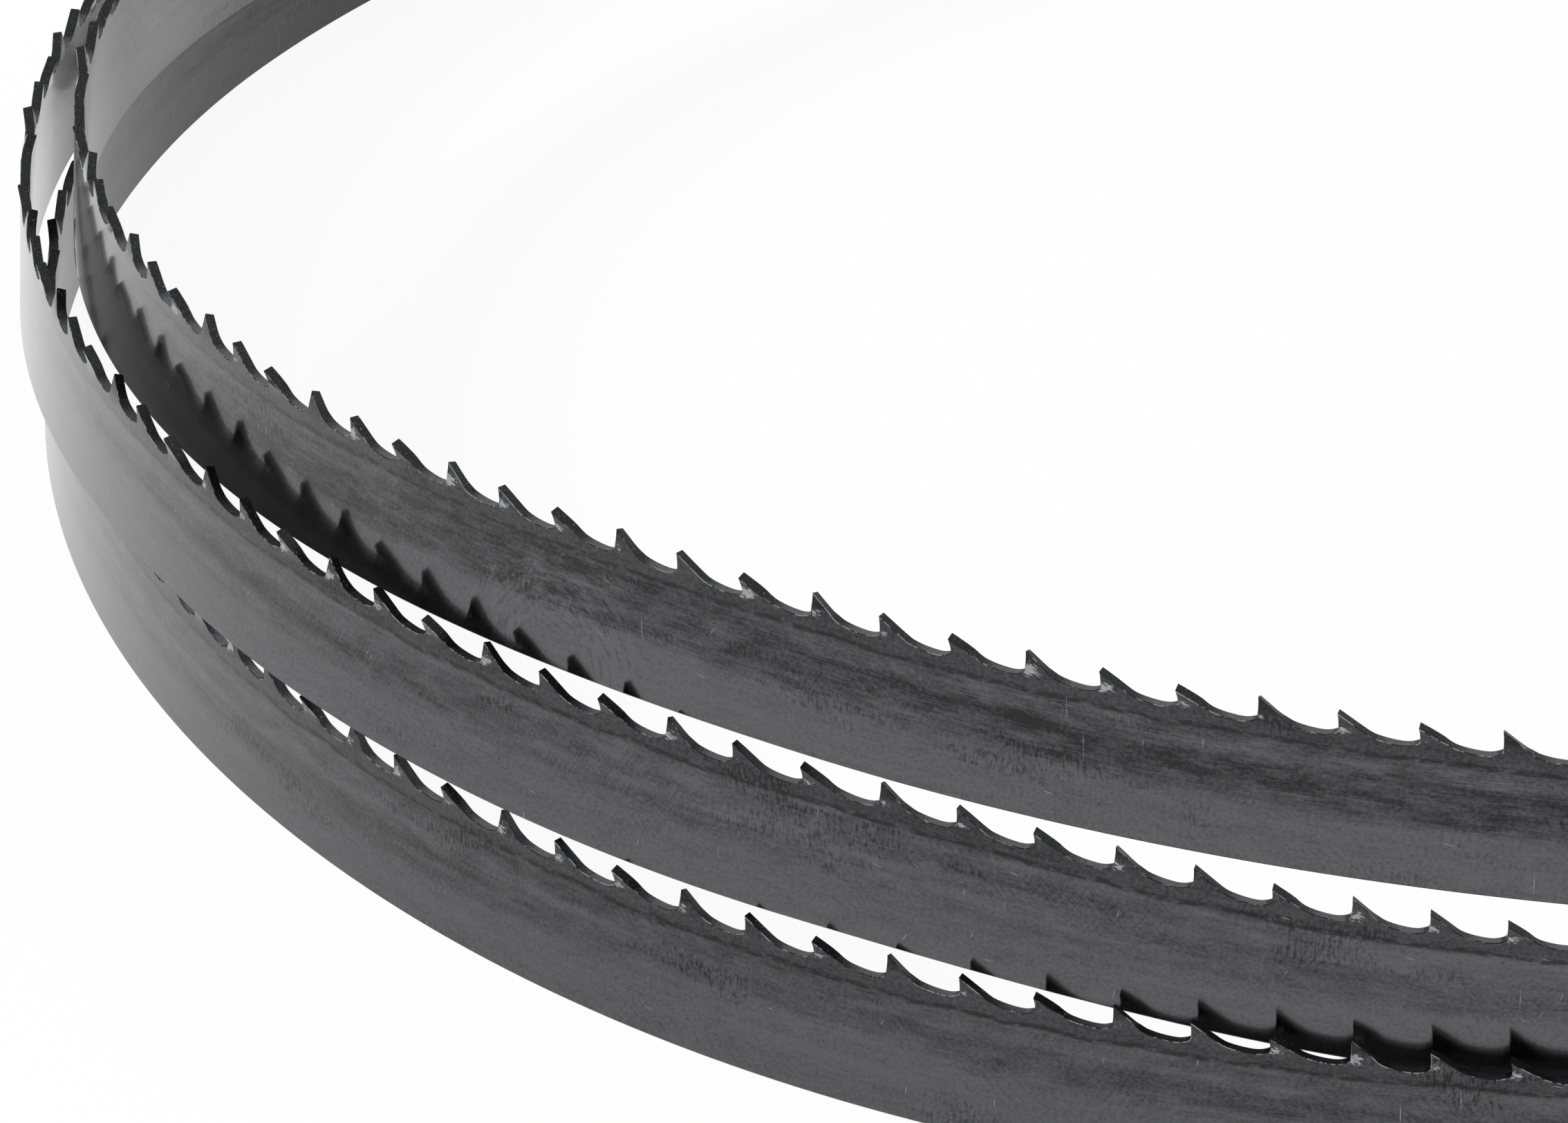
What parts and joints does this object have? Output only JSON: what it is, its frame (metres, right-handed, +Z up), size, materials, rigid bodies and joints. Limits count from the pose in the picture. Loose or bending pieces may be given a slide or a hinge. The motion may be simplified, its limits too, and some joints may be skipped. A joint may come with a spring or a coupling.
{
  "type": "band saw blade",
  "caption": "Endless steel band-saw blade with hooked, alternately set teeth along its upper edge, folded into a loose flat coil that stands on its back edge.",
  "frame": {"origin": "centre of the coil's box, on the surface the blade's back edge stands on", "axes": "+Z up, from the back edge towards the tooth tips; the coil lies flat in X and Y, and -Y faces the picture's near side"},
  "size_m": [0.1956, 0.1974, 0.0304],
  "materials": {
    "steel": "cold-rolled carbon steel, dark grey, brushed lengthwise, darker along the hardened tooth edge"
  },
  "bodies": {
    "root": {"band_saw_blade": "steel"}
  },
  "joints": []
}
